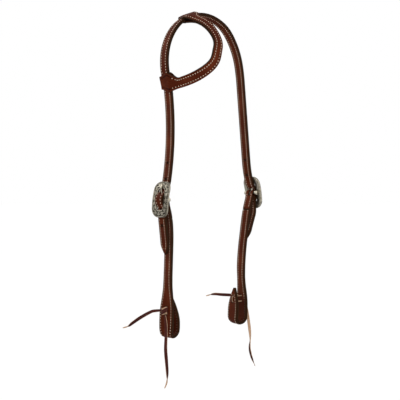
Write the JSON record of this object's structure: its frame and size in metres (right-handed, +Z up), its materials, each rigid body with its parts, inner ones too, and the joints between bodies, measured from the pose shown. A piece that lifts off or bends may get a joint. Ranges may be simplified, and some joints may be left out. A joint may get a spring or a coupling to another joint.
{
  "type": "western headstall",
  "caption": "Western one-ear leather headstall: sewn crown strap, sliding ear loop, curved buckles, cheek straps and laced bit loops.",
  "frame": {"origin": "the underside of the crown strap at the top of its arc, where it rests on the poll", "axes": "+Z up, the horse faces -Y, and its right side, which carries the ear loop, is -X"},
  "size_m": [0.2447, 0.1417, 0.5874],
  "materials": {
    "leather": "oiled reddish-brown grain side with dark burnished edges",
    "lining": "oiled brown leather, flesh side in",
    "lace": "burgundy latigo lace with a tan flesh side",
    "silver": "engraved and antiqued silver colour",
    "steel": "plain bar"
  },
  "bodies": {
    "crown": {"crown_outer": "leather", "crown_lining": "lining", "right_buckle_frame": "silver", "right_buckle_bar": "steel", "left_buckle_frame": "silver", "left_buckle_bar": "steel"},
    "ear_loop": {"ear_outer": "leather", "ear_lining": "lining"},
    "right_cheek": {"right_cheek_outer": "leather", "right_cheek_lining": "lining", "right_tie_lacing": "lace", "right_tie_tail_rear": "lace", "right_tie_tail_down": "lace"},
    "left_cheek": {"left_cheek_outer": "leather", "left_cheek_lining": "lining", "left_tie_lacing": "lace", "left_tie_tail_rear": "lace", "left_tie_tail_down": "lace"},
    "right_tongue": {"right_buckle_tongue": "silver"},
    "left_tongue": {"left_buckle_tongue": "silver"}
  },
  "joints": [
    {"name": "ear_slide", "type": "hinge", "parent": "crown", "child": "ear_loop", "pos_m": [0, 0, -0.0819], "axis": [0, 1, 0], "range_deg": [0, 20]},
    {"name": "right_cheek_swing", "type": "hinge", "parent": "crown", "child": "right_cheek", "pos_m": [-0.08703, 0, -0.29309], "axis": [0, -1, 0], "range_deg": [0, 15]},
    {"name": "left_cheek_swing", "type": "hinge", "parent": "crown", "child": "left_cheek", "pos_m": [0.11025, 0, -0.28089], "axis": [0, 1, 0], "range_deg": [0, 15]},
    {"name": "right_tongue_lift", "type": "hinge", "parent": "crown", "child": "right_tongue", "pos_m": [-0.08703, 0, -0.29309], "axis": [0, -1, 0], "range_deg": [0, 5]},
    {"name": "left_tongue_lift", "type": "hinge", "parent": "crown", "child": "left_tongue", "pos_m": [0.11025, 0, -0.28089], "axis": [0, 1, 0], "range_deg": [0, 5]}
  ]
}
